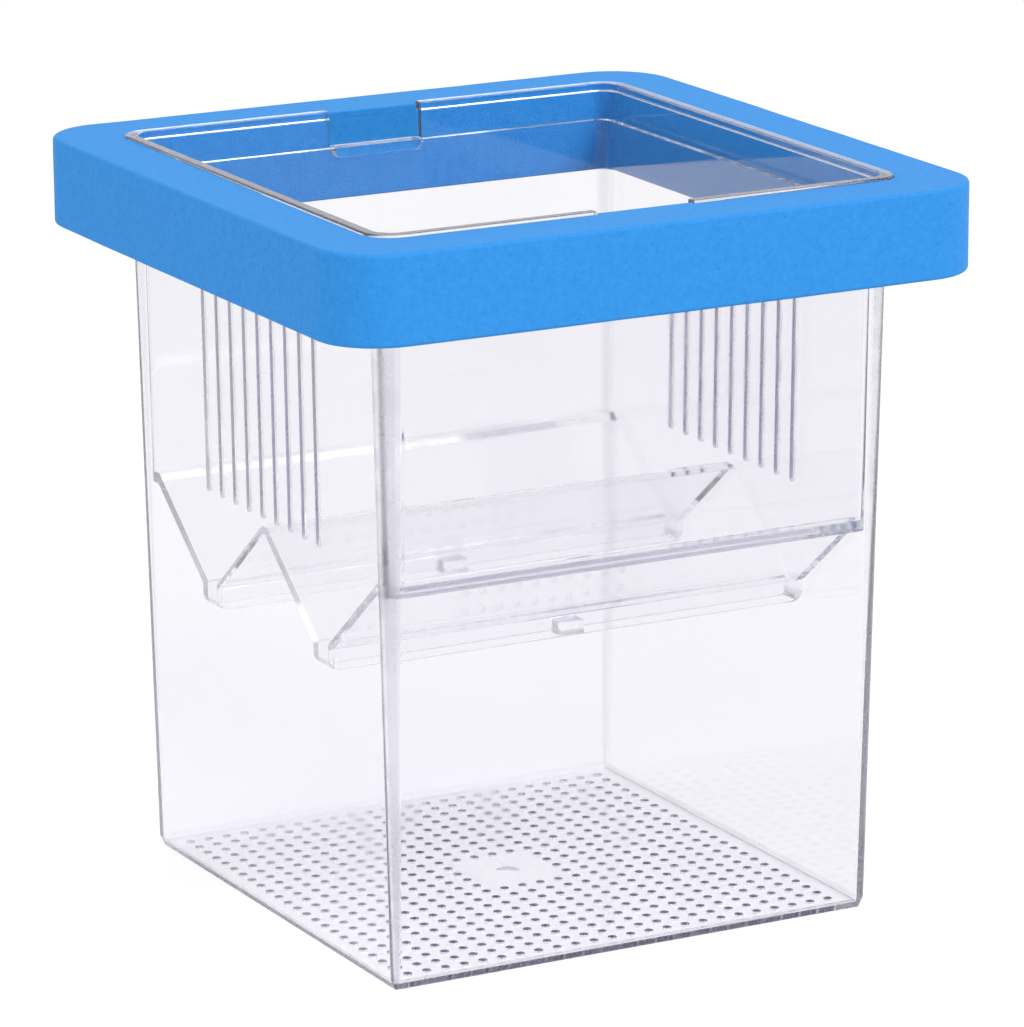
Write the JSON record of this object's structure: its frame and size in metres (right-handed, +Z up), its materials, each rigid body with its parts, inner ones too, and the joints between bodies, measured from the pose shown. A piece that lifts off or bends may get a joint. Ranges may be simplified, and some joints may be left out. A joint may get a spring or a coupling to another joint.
{
  "type": "fish breeding box",
  "caption": "Clear square box held in a foam float ring, with a lift-out breeding chamber whose slotted W-shaped bottom drops fry to a drained floor.",
  "frame": {"origin": "centre of the square base, on the surface that the box stands on", "axes": "+Z up to the rim; +Y to the back, so that the two drop slots run along X and the rim notches face +Y and -Y"},
  "size_m": [0.157, 0.157, 0.167],
  "materials": {
    "clear_outer": "gloss",
    "clear_chamber": "gloss",
    "blue_foam": "matte"
  },
  "bodies": {
    "outer_box": {"outer_box": "clear_outer"},
    "breeding_chamber": {"breeding_chamber": "clear_chamber"},
    "float_ring": {"float_ring": "blue_foam"}
  },
  "joints": [
    {"name": "chamber_lift", "type": "slide", "parent": "outer_box", "child": "breeding_chamber", "axis": [0, 0, 1], "range_m": [0, 0.105]},
    {"name": "ring_slide", "type": "slide", "parent": "outer_box", "child": "float_ring", "axis": [0, 0, -1], "range_m": [0, 0.146]}
  ]
}
